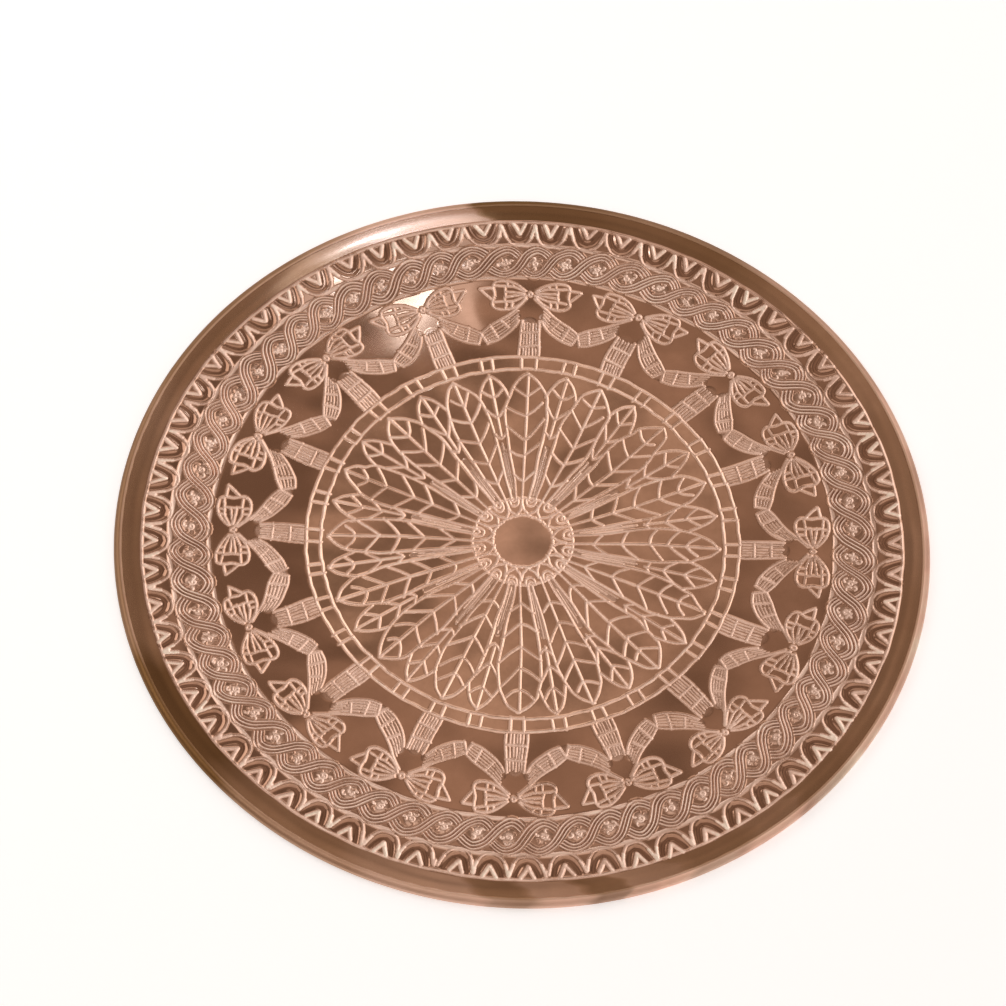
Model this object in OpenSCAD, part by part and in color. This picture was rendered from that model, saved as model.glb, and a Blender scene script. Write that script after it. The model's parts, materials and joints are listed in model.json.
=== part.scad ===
// Round copper serving tray: one sheet, hammered flat and chased with bands of
// ornament, whose edge is rolled under round a wire so that it can't bend or cut.
// The frame's origin is the middle of the tray, on the table. +Z is up.

/* [Sheet] */
// Diameter over the rolled edge
tray_d = 420; // [300:5:600]
// Thickness of the copper sheet
sheet_t = 1.2; // [0.8:0.1:1.6]

/* [Rolled edge] */
// Diameter of the wire inside the rolled edge
wire_d = 2.8; // [2:0.1:5]
// Gap all round the wire
wire_gap = 0.05; // [0.03:0.01:0.1]
// Height of the rolled edge's top above the sheet's top face
bead_proud = 0.15; // [0.1:0.05:0.4]
// Depth of metal dressed flat under the rolled edge, where the tray stands
foot_flat = 0.15; // [0.05:0.05:0.3]
// Height of the seam where the rolled edge ends under the sheet
seam_h = 0.4; // [0.2:0.1:0.6]

/* [Hidden] */
$fn = 180;

tray_r = tray_d / 2;
hollow_r = wire_d / 2 + wire_gap;         // inside of the rolled edge
bead_r = hollow_r + sheet_t;              // outside of the rolled edge
bead_x = tray_r - bead_r;                 // middle of the wire, from the axis
bead_z = bead_r - foot_flat;              // and above the table
sheet_top = bead_z + bead_r - bead_proud;
sheet_bottom = sheet_top - sheet_t;

// A ring of round section, with its middle where the wire's is
module edge_ring(section_r) {
    rotate_extrude() translate([bead_x, bead_z]) circle(r = section_r);
}

// A flat ring between two radii, from z = low up
module flat_ring(inner_r, outer_r, low, height) {
    translate([0, 0, low]) difference() {
        cylinder(r = outer_r, h = height);
        translate([0, 0, -1]) cylinder(r = inner_r, h = height + 2);
    }
}

// The sheet runs flat into the ring that its own edge makes round the wire
module tray_sheet() {
    color("#b4694a") difference() {
        union() {
            translate([0, 0, sheet_bottom]) cylinder(r = bead_x, h = sheet_t);
            edge_ring(bead_r);
        }
        edge_ring(hollow_r);
        // the seam, on the side that faces the middle of the tray
        flat_ring(bead_x - bead_r - 1, bead_x, sheet_bottom - seam_h, seam_h);
        // the foot, dressed flat at table height
        flat_ring(bead_x - bead_r, bead_x + bead_r, -bead_r, bead_r);
    }
}

module rim_wire() {
    color("#8d8a86") edge_ring(wire_d / 2);
}

tray_sheet();
rim_wire();
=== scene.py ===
import json
import math

import bpy
import numpy as np
from mathutils import Matrix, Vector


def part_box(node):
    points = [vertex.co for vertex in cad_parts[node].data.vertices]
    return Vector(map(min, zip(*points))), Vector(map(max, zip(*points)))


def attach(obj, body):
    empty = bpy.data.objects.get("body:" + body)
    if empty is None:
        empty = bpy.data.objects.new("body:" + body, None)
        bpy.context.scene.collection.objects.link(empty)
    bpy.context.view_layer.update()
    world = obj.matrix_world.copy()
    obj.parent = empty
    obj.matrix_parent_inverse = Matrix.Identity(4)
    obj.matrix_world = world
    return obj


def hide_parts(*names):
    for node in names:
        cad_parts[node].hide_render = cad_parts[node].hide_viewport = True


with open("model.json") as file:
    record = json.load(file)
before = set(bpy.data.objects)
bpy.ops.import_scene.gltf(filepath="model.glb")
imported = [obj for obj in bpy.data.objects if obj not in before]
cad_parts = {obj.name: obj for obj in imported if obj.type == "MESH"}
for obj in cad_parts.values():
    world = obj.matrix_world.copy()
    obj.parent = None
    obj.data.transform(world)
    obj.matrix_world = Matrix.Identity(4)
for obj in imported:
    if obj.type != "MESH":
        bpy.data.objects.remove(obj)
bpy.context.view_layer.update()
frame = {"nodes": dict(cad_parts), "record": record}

mm = 0.001
turn = 2.0 * math.pi


# measures taken from the frame

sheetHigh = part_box("tray_sheet")[1]
wireLow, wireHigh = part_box("rim_wire")
mountPlace = {m["name"]: m["pos_m"] for m in frame["record"]["mounts"]}
wireGap = 0.05 * mm                                    # air between the wire and the sheet rolled over it

trayRadius = sheetHigh.x                               # centre to the outside of the rolled edge
faceHeight = mountPlace["serving_face"][2]             # the flat top
beadPlace = mountPlace["table_ring"][0]                # centre to the middle of the rolled edge
beadHeight = 0.5 * (wireLow.z + wireHigh.z)
beadRadius = trayRadius - beadPlace
hollowRadius = 0.5 * (wireHigh.z - wireLow.z) + wireGap
sheetThick = beadRadius - hollowRadius
print("frame measures: tray %.1f mm across, sheet %.2f mm" % (2 * trayRadius / mm, sheetThick / mm))


# how far the sheet lies out of true, and how far the hand strayed from the drawing

handMade = {
    "seed": 21,
    "waveLengths": (41, 62, 90, 135),                  # mm from crest to crest of the slow waves in the sheet
    "waveHeights": (0.040, 0.060, 0.080, 0.100),       # mm, one for each length
    "wavesOfEach": 3,
    "settled": 0.62,                                   # mm that the middle lies below the rolled edge
    "rimStart": 0.86,                                  # the unevenness dies out from here to the edge
    "rimEnd": 0.978,
    "driftLengths": (24, 41, 67),                      # mm, waves by which the drawn lines wander
    "driftHeights": (0.18, 0.26, 0.34),                # mm
}


def slowWaves(lengths, heights, copies, seed):
    # a set of plane waves: height, crests per metre along x and y, and phase, with seeded headings
    rng = np.random.default_rng(seed)
    waves = []
    for length, height in zip(lengths, heights):
        for heading, phase in zip(rng.uniform(0, turn, copies), rng.uniform(0, turn, copies)):
            pace = turn / (length * mm)
            waves.append((height * mm, pace * math.cos(heading), pace * math.sin(heading), phase))
    return waves


def sumWaves(waves, x, y):
    # adds up height times the sine of (x pace times x plus y pace times y plus phase)
    return sum(height * np.sin(paceX * x + paceY * y + phase) for height, paceX, paceY, phase in waves)


sheetWaves = slowWaves(handMade["waveLengths"], handMade["waveHeights"], handMade["wavesOfEach"],
                       handMade["seed"])
driftAlongX = slowWaves(handMade["driftLengths"], handMade["driftHeights"], 2, handMade["seed"] + 1)
driftAlongY = slowWaves(handMade["driftLengths"], handMade["driftHeights"], 2, handMade["seed"] + 2)


def easeBetween(value, low, high):
    # 0 below low, 1 above high, and three squares less two cubes of the way between
    way = np.clip((value - low) / (high - low), 0.0, 1.0)
    return way * way * (3.0 - 2.0 * way)


def sheetLift(x, y):
    # height of the uneven sheet over its true plane, fading to nothing at the rolled edge
    share = np.hypot(x, y) / trayRadius
    calm = 1.0 - easeBetween(share, handMade["rimStart"], handMade["rimEnd"])
    return calm * (sumWaves(sheetWaves, x, y) - handMade["settled"] * mm)


def strayed(path):
    # moves each point of a drawn line by the slow drift of the hand at its place
    x, y = path[:, 0], path[:, 1]
    return path + np.stack([sumWaves(driftAlongX, x, y), sumWaves(driftAlongY, x, y)], 1)


# lines drawn on the sheet: lengths are shares of the tray's radius, angles are degrees

def aboutAxis(points, axis, side=1):
    # x runs counter-clockwise of the axis, y runs outwards along it; side -1 mirrors x
    points = np.asarray(points, float) * trayRadius
    a = math.radians(axis)
    outward, across = np.array([math.cos(a), math.sin(a)]), np.array([-math.sin(a), math.cos(a)])
    return points[:, 1:2] * outward + side * points[:, 0:1] * across


def roundAxis(points, axis, side=1):
    # each point is (degrees from the axis, distance from the centre); side -1 mirrors the degrees
    points = np.asarray(points, float)
    a = np.radians(axis + side * points[:, 0])
    return trayRadius * points[:, 1:2] * np.stack([np.cos(a), np.sin(a)], 1)


def smoothLine(points, steps=5):
    # a Catmull-Rom curve through the points, with this many steps from each point to the next; its
    # ends run on as straight as they come
    points = np.asarray(points, float)
    longer = np.concatenate([2 * points[:1] - points[1:2], points, 2 * points[-1:] - points[-2:-1]])
    before, here, there, after = (longer[i:len(longer) - 3 + i, None] for i in range(4))
    t = np.linspace(0, 1, steps, endpoint=False)[None, :, None]
    curve = 0.5 * (2 * here + (there - before) * t + (2 * before - 5 * here + 4 * there - after) * t ** 2
                   + (3 * here - before - 3 * there + after) * t ** 3)
    return np.concatenate([curve.reshape(-1, 2), points[-1:]])


def besideLine(path, offset):
    # the same line moved sideways by the offset, to the left of its run
    run = np.gradient(path, axis=0)
    run /= np.linalg.norm(run, axis=1, keepdims=True)
    return path + offset * np.stack([-run[:, 1], run[:, 0]], 1)


def curlLine(centre, wide, tight, turns, start):
    # a spiral round a centre whose radius shrinks evenly from wide to tight over so many turns
    t = np.linspace(0, 1, int(14 * turns) + 2)
    angle = math.radians(start) + turn * turns * t
    radius = trayRadius * (wide + (tight - wide) * t)
    return centre + radius[:, None] * np.stack([np.cos(angle), np.sin(angle)], 1)


# the skin: a polar grid that holds the worked top of one part of the sheet

def makeSkin(inner, outer, rings, columns):
    # ring distances run evenly from inner to outer (shares of the radius), with one spare ring each side
    step = (outer - inner) / rings
    radius = trayRadius * (inner + step * np.arange(-1, rings + 2))
    angle = turn * np.arange(columns) / columns
    r, a = np.meshgrid(radius, angle, indexing="ij")
    x, y = r * np.cos(a), r * np.sin(a)
    blank = np.zeros_like(x)
    return {"radius": radius, "columns": columns, "x": x, "y": y,
            "sunk": blank.copy(), "proud": blank.copy(), "dished": blank.copy(),
            "burnish": blank.copy(), "tarnish": blank.copy()}


def nearLine(x, y, path):
    # for each place: the distance to a line of straight legs, and the length run along it to there
    start, leg = path[:-1], path[1:] - path[:-1]
    square = (leg ** 2).sum(1) + 1e-18
    alongX, alongY = x[:, None] - start[:, 0], y[:, None] - start[:, 1]
    t = np.clip((alongX * leg[:, 0] + alongY * leg[:, 1]) / square, 0.0, 1.0)
    away = np.hypot(alongX - t * leg[:, 0], alongY - t * leg[:, 1])
    nearest = away.argmin(1)
    row = np.arange(len(x))
    length = np.sqrt(square)
    run = (np.cumsum(length) - length)[nearest] + t[row, nearest] * length[nearest]
    return away[row, nearest], run


def blockNear(skin, path, reach):
    # the rings and columns of the skin that lie within reach of a line, or None
    far = np.hypot(path[:, 0], path[:, 1])
    legs = np.linalg.norm(np.diff(path, axis=0), axis=1).max()
    low, high = far.min() - reach - 0.1 * legs, far.max() + reach
    rings = np.flatnonzero((skin["radius"] > low) & (skin["radius"] < high))
    if len(rings) == 0:
        return None
    columns = skin["columns"]
    angle = np.arctan2(path[:, 1], path[:, 0])
    middle = math.atan2(np.sin(angle).mean(), np.cos(angle).mean())
    swing = (angle - middle + math.pi) % turn - math.pi
    pad = reach / max(low, reach)
    if low < 3 * reach or np.ptp(swing) + 2 * pad > 5.0:
        return np.ix_(rings, np.arange(columns))
    first = math.floor((middle + swing.min() - pad) / turn * columns)
    final = math.ceil((middle + swing.max() + pad) / turn * columns)
    return np.ix_(rings, np.arange(first, final + 1) % columns)


# the graver: how its furrow is shaped and how its strokes differ

graverWork = {
    "levelShare": 0.28,                                # share of a furrow's half width that is level bottom
    "burnishShare": 0.52,                              # the burnish is full out to here and ends at its side
    "punchStep": 2.7,                                  # mm between the little steps the tool leaves in a line
    "punchBite": 0.06,                                 # share of the depth
    "widths": (0.88, 1.14),                            # least and most of a stroke's width, depth and burnish
    "depths": (0.80, 1.18),                            # beside what was asked
    "shines": (0.85, 1.05),
    "slant": 0.012,                                    # radians that a stroke leans by
    "slip": 0.11,                                      # mm that a stroke lies off its place
    "ringWaves": (5, 11, 23, 41, 67),                  # waves round the tray by which a ring wanders
    "ringWander": 0.11,                                # mm for each of them
    "ringSwell": 0.16,                                 # share by which a ring's depth swells and shrinks
    "swellWaves": (37, 13),
}


def furrowShape(share):
    # 1 over the level bottom and down to 0 at the sides with the cosine of the way between
    level = graverWork["levelShare"]
    way = np.clip((share - level) / (1 - level), 0.0, 1.0)
    return 0.5 + 0.5 * np.cos(math.pi * way)


def chase(skin, path, width, depth, burnish=1.0, phase=0.0):
    # a furrow of that shape, with small even steps of the tool along it; the burnished part is a
    # little narrower, and a negative burnish leaves the furrow dark
    half = 0.5 * width * mm
    block = blockNear(skin, path, 1.05 * half)
    if block is None:
        return
    x, y = skin["x"][block], skin["y"][block]
    away, run = nearLine(x.ravel(), y.ravel(), path)
    share = np.clip(away / half, 0, 1).reshape(x.shape)
    bite = graverWork["punchBite"] * np.sin(turn * run / (graverWork["punchStep"] * mm) + phase)
    uneven = 1 + bite.reshape(x.shape)
    cut = depth * mm * furrowShape(share) * uneven
    skin["sunk"][block] = np.maximum(skin["sunk"][block], cut)
    layer = "burnish" if burnish > 0 else "tarnish"
    shine = abs(burnish) * (1.0 - easeBetween(share, graverWork["burnishShare"], 1.0)) * uneven
    skin[layer][block] = np.maximum(skin[layer][block], shine)


def spread(skin, path, width, height, burnish=0.0, edge=0.35):
    # a band along a line that stands up by height (or is dished where height is negative), level
    # across its middle and eased at its sides over the edge share of its half width
    half = 0.5 * width * mm
    block = blockNear(skin, path, 1.05 * half)
    if block is None:
        return
    x, y = skin["x"][block], skin["y"][block]
    away, _ = nearLine(x.ravel(), y.ravel(), path)
    level = 1.0 - easeBetween((away / half).reshape(x.shape), 1.0 - edge, 1.0)
    side = "proud" if height > 0 else "dished"
    skin[side][block] = np.maximum(skin[side][block], abs(height) * mm * level)
    layer = "burnish" if burnish > 0 else "tarnish"
    skin[layer][block] = np.maximum(skin[layer][block], abs(burnish) * level)


def ringFurrow(skin, share, width, depth, burnish=1.0, seed=0, paintedShadeArc=None):
    # a furrow right round the tray that wanders in and out by a few slow waves; a negative depth
    # makes it a ridge; the last argument gives the degrees of painted shade, how wide, and the share of
    # burnish it takes
    g = graverWork
    rng = np.random.default_rng(seed)
    angle = np.arctan2(skin["y"], skin["x"])
    phases = rng.uniform(0, turn, len(g["ringWaves"]))
    wander = sum(g["ringWander"] * mm * np.sin(n * angle + p) for n, p in zip(g["ringWaves"], phases))
    far = np.hypot(skin["x"], skin["y"])
    half = 0.5 * width * mm
    near = np.clip(np.abs(far - share * trayRadius - wander) / half, 0, 1)
    fast, slow = g["swellWaves"]
    strength = 1 + g["ringSwell"] * np.sin(fast * angle + rng.uniform(0, turn)) * np.sin(slow * angle)
    cut = abs(depth) * mm * strength * furrowShape(near)
    side = "sunk" if depth > 0 else "proud"
    skin[side] = np.maximum(skin[side], cut)
    shine = burnish * strength * (1.0 - easeBetween(near, g["burnishShare"], 1.0))
    # painted shade: round one direction of the tray the burnish is lowered
    if paintedShadeArc:
        where, wide, loss = paintedShadeArc
        swing = (np.degrees(angle) - where + 180) % 360 - 180
        shine = shine * (1.0 - loss * np.exp(-(swing / wide) ** 2))
    skin["burnish"] = np.maximum(skin["burnish"], shine)


class Graver:
    # a seeded hand: each line is a little wider or narrower, deeper or shallower than asked
    def __init__(self, skins, seed):
        self.skins = skins
        self.rng = np.random.default_rng(seed)

    def line(self, path, width, depth, burnish=1.0):
        g = graverWork
        widthNow = width * self.rng.uniform(*g["widths"])
        depthNow = depth * self.rng.uniform(*g["depths"])
        burnishNow = burnish * self.rng.uniform(*g["shines"])
        phase = self.rng.uniform(0, turn)
        slant = self.rng.normal(0, g["slant"])
        leaned = path + slant * (path - path.mean(0))[:, ::-1] * (-1, 1)
        drawn = leaned + self.rng.normal(0, g["slip"] * mm, 2)
        for skin in self.skins:
            chase(skin, strayed(drawn), widthNow, depthNow, burnishNow, phase)

    def band(self, path, width, height, burnish, edge=0.35):
        for skin in self.skins:
            spread(skin, strayed(path), width, height, burnish, edge)

    def ring(self, share, width, depth, burnish=1.0, paintedShadeArc=None):
        seed = int(self.rng.integers(1, 9999))
        for skin in self.skins:
            ringFurrow(skin, share, width, depth, burnish, seed, paintedShadeArc)


# turning a skin into a closed piece of sheet

def skinTop(skin):
    # the top surface: flat face plus the sheet's unevenness plus raised work less whichever is
    # deeper, the furrow or the dish
    lift = sheetLift(skin["x"], skin["y"])
    height = faceHeight + lift + skin["proud"] - np.maximum(skin["sunk"], skin["dished"])
    return np.stack([skin["x"], skin["y"], height], 2)


def surfaceNormals(grid):
    # the cross product of the step across the rings and the step along them, for the inner rings
    across = grid[2:] - grid[:-2]
    along = np.roll(grid, -1, 1)[1:-1] - np.roll(grid, 1, 1)[1:-1]
    normal = np.cross(across, along)
    return normal / np.linalg.norm(normal, axis=2, keepdims=True)


def shellOfRings(name, rings, normals, wraps, values=None):
    # joins ring to ring with four-sided faces; a shell that wraps joins its last ring to its first,
    # and one that doesn't is closed by a fan of triangles to a point inside its first and last rings
    count, columns = rings.shape[:2]
    here = np.arange(columns)
    there = np.roll(here, -1)
    starts = np.arange(count if wraps else count - 1)[:, None] * columns
    nexts = np.roll(np.arange(count), -1)[:len(starts), None] * columns
    quads = np.stack([starts + here, nexts + here, nexts + there, starts + there], 2).reshape(-1, 4)
    places, facing = rings.reshape(-1, 3), normals.reshape(-1, 3)
    corners = [quads.ravel()]
    sizes = [np.full(len(quads), 4)]
    if not wraps:
        poles = np.stack([rings[0].mean(0), rings[-1].mean(0)])
        topPole, lowPole = len(places), len(places) + 1
        base = (count - 1) * columns
        topFan = np.stack([np.full(columns, topPole), here, there], 1)
        lowFan = np.stack([np.full(columns, lowPole), base + there, base + here], 1)
        places = np.concatenate([places, poles])
        facing = np.concatenate([facing, normals[0].mean(0)[None], normals[-1].mean(0)[None]])
        corners += [topFan.ravel(), lowFan.ravel()]
        sizes += [np.full(2 * columns, 3)]
    corners, sizes = np.concatenate(corners), np.concatenate(sizes)
    mesh = bpy.data.meshes.new(name)
    mesh.vertices.add(len(places))
    mesh.vertices.foreach_set("co", places.astype(np.float32).ravel())
    mesh.loops.add(len(corners))
    mesh.loops.foreach_set("vertex_index", corners.astype(np.int32))
    mesh.polygons.add(len(sizes))
    mesh.polygons.foreach_set("loop_start", (np.cumsum(sizes) - sizes).astype(np.int32))
    mesh.update(calc_edges=True)
    mesh.polygons.foreach_set("use_smooth", np.ones(len(sizes), bool))
    mesh.normals_split_custom_set_from_vertices(facing.astype(np.float32))
    burnish = mesh.attributes.new("burnish", "FLOAT", "POINT")
    shine = np.zeros(len(places), np.float32)
    if values is not None:
        shine[:values.size] = values.ravel()
    burnish.data.foreach_set("value", shine)
    piece = bpy.data.objects.new(name, mesh)
    bpy.context.scene.collection.objects.link(piece)
    return piece


def standInForSheet(piece, material):
    piece.data.materials.append(material)
    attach(piece, "root")
    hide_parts("tray_sheet")
    faces = sum(len(p.vertices) - 2 for p in piece.data.polygons)
    print("piece %-18s %6d triangles" % (piece.name, faces))


layerWork = {
    "topShare": 0.66,                                  # share of the sheet's thickness the worked pieces take
    "coverShare": 0.76,                                # share of it above the underside's own cover
    "coverStep": 12.0,                                 # mm between the rings of a hidden cover
}


def hiddenCover(outer, inner, angle, share):
    # rings from one distance to another that lie this share of the thickness under the uneven face
    count = 2 + int(abs(outer - inner) / (layerWork["coverStep"] * mm))
    far = np.linspace(outer, inner, count)[:, None]
    x, y = far * np.cos(angle), far * np.sin(angle)
    return np.stack([x, y, faceHeight - share * sheetThick + sheetLift(x, y)], 2)


def sheetPiece(name, skin, material, hasCentre=False):
    # the worked top, a wall down into the sheet's thickness, and a plain cover underneath
    top = skinTop(skin)
    normals = surfaceNormals(top)
    rings = top[1:-1]
    angle = turn * np.arange(skin["columns"]) / skin["columns"]
    low = hiddenCover(skin["radius"][-2], skin["radius"][1], angle, layerWork["topShare"])
    down = np.zeros_like(low)
    down[:, :, 2] = -1.0
    piece = shellOfRings(name, np.concatenate([rings, low]), np.concatenate([normals, down]),
                         not hasCentre, (skin["burnish"] - skin["tarnish"])[1:-1])
    standInForSheet(piece, material)
    return piece


# finishes

def newMaterial(name):
    material = bpy.data.materials.new(name)
    material.use_nodes = True
    tree = material.node_tree
    tree.nodes.clear()
    output = tree.nodes.new("ShaderNodeOutputMaterial")
    shader = tree.nodes.new("ShaderNodeBsdfPrincipled")
    tree.links.new(shader.outputs["BSDF"], output.inputs["Surface"])
    place = tree.nodes.new("ShaderNodeTexCoord").outputs["Object"]
    return material, tree, shader, place


def noiseOf(tree, place, scale, detail=3.0, stretch=None, rough=0.55):
    # noise of so many cells per metre; stretch gives a separate scale for x, y and z
    if stretch:
        mapping = tree.nodes.new("ShaderNodeMapping")
        mapping.inputs["Scale"].default_value = stretch
        tree.links.new(place, mapping.inputs["Vector"])
        place = mapping.outputs["Vector"]
    noise = tree.nodes.new("ShaderNodeTexNoise")
    noise.inputs["Scale"].default_value = scale
    noise.inputs["Detail"].default_value = detail
    noise.inputs["Roughness"].default_value = rough
    tree.links.new(place, noise.inputs["Vector"])
    return noise.outputs["Fac"]


def rangeOf(tree, value, fromLow, fromHigh, toLow, toHigh):
    node = tree.nodes.new("ShaderNodeMapRange")
    for socket, number in zip(("From Min", "From Max", "To Min", "To Max"),
                              (fromLow, fromHigh, toLow, toHigh)):
        node.inputs[socket].default_value = number
    tree.links.new(value, node.inputs["Value"])
    return node.outputs["Result"]


def mathOf(tree, operation, first, second):
    node = tree.nodes.new("ShaderNodeMath")
    node.operation = operation
    for socket, value in zip(node.inputs, (first, second)):
        if isinstance(value, (int, float)):
            socket.default_value = value
        else:
            tree.links.new(value, socket)
    return node.outputs["Value"]


def blendOf(tree, factor, first, second):
    # mixes two colours; each is a triple of numbers or another node's colour
    node = tree.nodes.new("ShaderNodeMix")
    node.data_type = "RGBA"
    tree.links.new(factor, node.inputs["Factor"])
    colourSockets = [s for s in node.inputs if s.type == "RGBA"]
    for socket, value in zip(colourSockets, (first, second)):
        if isinstance(value, tuple):
            socket.default_value = (*value, 1.0)
        else:
            tree.links.new(value, socket)
    return [s for s in node.outputs if s.type == "RGBA"][0]


def attributeOf(tree, name):
    node = tree.nodes.new("ShaderNodeAttribute")
    node.attribute_name = name
    return node.outputs["Fac"]


def copperFinish(name, look, paintedToneAndWear=False):
    # brown-stained copper that turns to clean bright copper where the tool has burnished it, with a painted
    # highlight on the boldest lines; one with painted tone also takes its piece's tone as painted reflection,
    # and is rougher where its piece is worn
    material, tree, shader, place = newMaterial(name)
    fading = noiseOf(tree, place, look["fadeScale"], 2.0)
    wornOff = rangeOf(tree, fading, *look["fadeSpan"], look["fade"], 1.0)
    worked = mathOf(tree, "MULTIPLY", attributeOf(tree, "burnish"), wornOff)
    patches = rangeOf(tree, noiseOf(tree, place, look["patchScale"], 4.0), *look["patchSpan"], 0.0, 1.0)
    mottle = noiseOf(tree, place, look["mottleScale"], 5.0, rough=0.62)
    mottle = rangeOf(tree, mottle, *look["mottleSpan"], 0.0, 1.0)
    ground = blendOf(tree, patches, look["ground"], look["stain"])
    ground = blendOf(tree, mathOf(tree, "MULTIPLY", mottle, look["mottle"]), ground, look["dark"])
    recess = rangeOf(tree, worked, 0.0, -1.0, 0.0, 1.0)
    ground = blendOf(tree, recess, ground, look["recess"])
    colour = blendOf(tree, worked, ground, look["bright"])
    # painted highlight: the most burnished lines turn almost white
    colour = blendOf(tree, rangeOf(tree, worked, *look["creamSpan"], 0.0, 1.0), colour, look["cream"])
    rough = rangeOf(tree, worked, 0.0, 1.0, look["groundRough"], look["lineRough"])
    rough = mathOf(tree, "ADD", rough, mathOf(tree, "MULTIPLY", patches, look["stainRough"]))
    if paintedToneAndWear:
        # painted reflection: the piece's tone darkens or lightens its colour
        tone = attributeOf(tree, "tone")
        colour = blendOf(tree, rangeOf(tree, tone, 0.0, -1.0, 0.0, 1.0), colour, look["toneDark"])
        colour = blendOf(tree, rangeOf(tree, tone, 0.0, 1.0, 0.0, 1.0), colour, look["toneLight"])
        worn = attributeOf(tree, "worn")
        rough = mathOf(tree, "ADD", rough, mathOf(tree, "MULTIPLY", worn, look["wornRough"]))
    tree.links.new(colour, shader.inputs["Base Color"])
    tree.links.new(rough, shader.inputs["Roughness"])
    shader.inputs["Metallic"].default_value = 1.0
    rubbing = noiseOf(tree, place, 1.0, 1.0, look["rubbing"], 0.5)
    grain = noiseOf(tree, place, look["grainScale"], 1.0)
    height = mathOf(tree, "ADD", rubbing, mathOf(tree, "MULTIPLY", grain, look["grainShare"]))
    bump = tree.nodes.new("ShaderNodeBump")
    bump.inputs["Strength"].default_value = look["bump"]
    bump.inputs["Distance"].default_value = look["bumpDepth"] * mm
    tree.links.new(height, bump.inputs["Height"])
    tree.links.new(bump.outputs["Normal"], shader.inputs["Normal"])
    return material


copperLook = {
    "ground": (0.72, 0.44, 0.31),                      # clean sheet
    "stain": (0.60, 0.35, 0.235),                      # a warm film of tarnish in wide patches
    "dark": (0.42, 0.235, 0.15),                       # finer brown mottling
    "bright": (0.96, 0.70, 0.59),                      # bottom of a burnished line
    "cream": (1.0, 0.86, 0.74),                        # painted highlight, almost white, on the boldest burnished lines
    "creamSpan": (0.9, 1.35),                          # the burnish at which the painted highlight starts and is full
    "fade": 0.52,                                      # what is left of the burnish where it has worn off
    "fadeScale": 34.0,                                 # cells per metre
    "fadeSpan": (0.34, 0.62),                          # part of the noise that is spread from least to most
    "recess": (0.30, 0.155, 0.10),                     # where tarnish has stayed in the hollows
    "mottle": 0.35,
    "patchScale": 16.0,
    "patchSpan": (0.36, 0.66),
    "mottleScale": 110.0,
    "mottleSpan": (0.35, 0.68),
    "groundRough": 0.07,
    "lineRough": 0.43,
    "stainRough": 0.04,
    "rubbing": (90.0, 420.0, 200.0),                   # polishing streaks, cells per metre along x, y, z
    "grainScale": 420.0,
    "grainShare": 0.7,                                 # its height beside the streaks'
    "bump": 0.035,
    "bumpDepth": 0.03,                                 # mm
}

leafCopper = copperFinish("leafGroundCopper", {**copperLook, "ground": (0.82, 0.52, 0.375),
                                              "stain": (0.66, 0.40, 0.28)})
middleCopper = copperFinish("middleCopper", {**copperLook, "ground": (0.98, 0.63, 0.47),
                                              "stain": (0.84, 0.53, 0.39), "mottle": 0.22})
fieldCopper = copperFinish("darkFieldCopper", {**copperLook, "ground": (0.58, 0.34, 0.235),
                                               "stain": (0.43, 0.245, 0.165)})
bandCopper = copperFinish("bandCopper", {**copperLook, "ground": (0.62, 0.39, 0.29),
                                         "stain": (0.52, 0.32, 0.235),
                                         "bright": (1.0, 0.765, 0.66)})
archCopper = copperFinish("archBorderCopper", {**copperLook, "ground": (0.50, 0.30, 0.215),
                                                 "stain": (0.40, 0.23, 0.155)})
# the rim's tone is painted reflection, between a painted dark and a painted light colour
rimCopper = copperFinish("plainRimCopper", {**copperLook, "ground": (0.56, 0.345, 0.225),
                                            "stain": (0.44, 0.26, 0.155), "groundRough": 0.10,
                                            "bump": 0.03, "wornRough": 0.32,
                                            "toneDark": (0.22, 0.115, 0.045),
                                            "toneLight": (1.0, 0.70, 0.58)}, paintedToneAndWear=True)
underCopper = copperFinish("undersideCopper", {**copperLook, "ground": (0.50, 0.29, 0.19),
                                               "stain": (0.36, 0.20, 0.13), "mottle": 0.6,
                                               "groundRough": 0.30})
print("copper finishes ready")


# middle of the tray: plain disc, scalloped collar and the inner ring

collarWork = {
    "repeats": 16,
    "lineWidth": 1.6,                                  # mm
    "lineDepth": 0.36,
    "discRing": 0.0737,
    "innerRing": 0.1228,
    "ringShare": (0.85, 0.75, 0.8),                    # its width, depth and burnish beside a line's
    "petalShare": 0.8,                                 # a petal line's width and depth beside a line's
    "scallop": [(0, 0.107), (2.4, 0.0897), (7.0, 0.0819), (9.95, 0.077), (11.25, 0.0755)],
    "petalOuter": [(0.0125, 0.1226), (0.0108, 0.1105), (0.0066, 0.1030), (0, 0.1010)],
    "petalInner": [(0.0067, 0.1226), (0.0055, 0.1170), (0, 0.1130)],
}


def chaseCollar(hand):
    w, d = collarWork["lineWidth"], collarWork["lineDepth"]
    hand.ring(collarWork["discRing"], w, d)
    wide, deep, shine = collarWork["ringShare"]
    hand.ring(collarWork["innerRing"], wide * w, deep * d, shine)
    small = collarWork["petalShare"]
    spacing = 360 / collarWork["repeats"]
    for k in range(collarWork["repeats"]):
        for side in (-1, 1):
            hand.line(smoothLine(roundAxis(collarWork["scallop"], k * spacing, side)), w, d)
            for petal in ("petalOuter", "petalInner"):
                shape = smoothLine(aboutAxis(collarWork[petal], (k + 0.5) * spacing, side))
                hand.line(shape, small * w, small * d)


# sixteen long leaves with sixteen short ones between their tips

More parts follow.
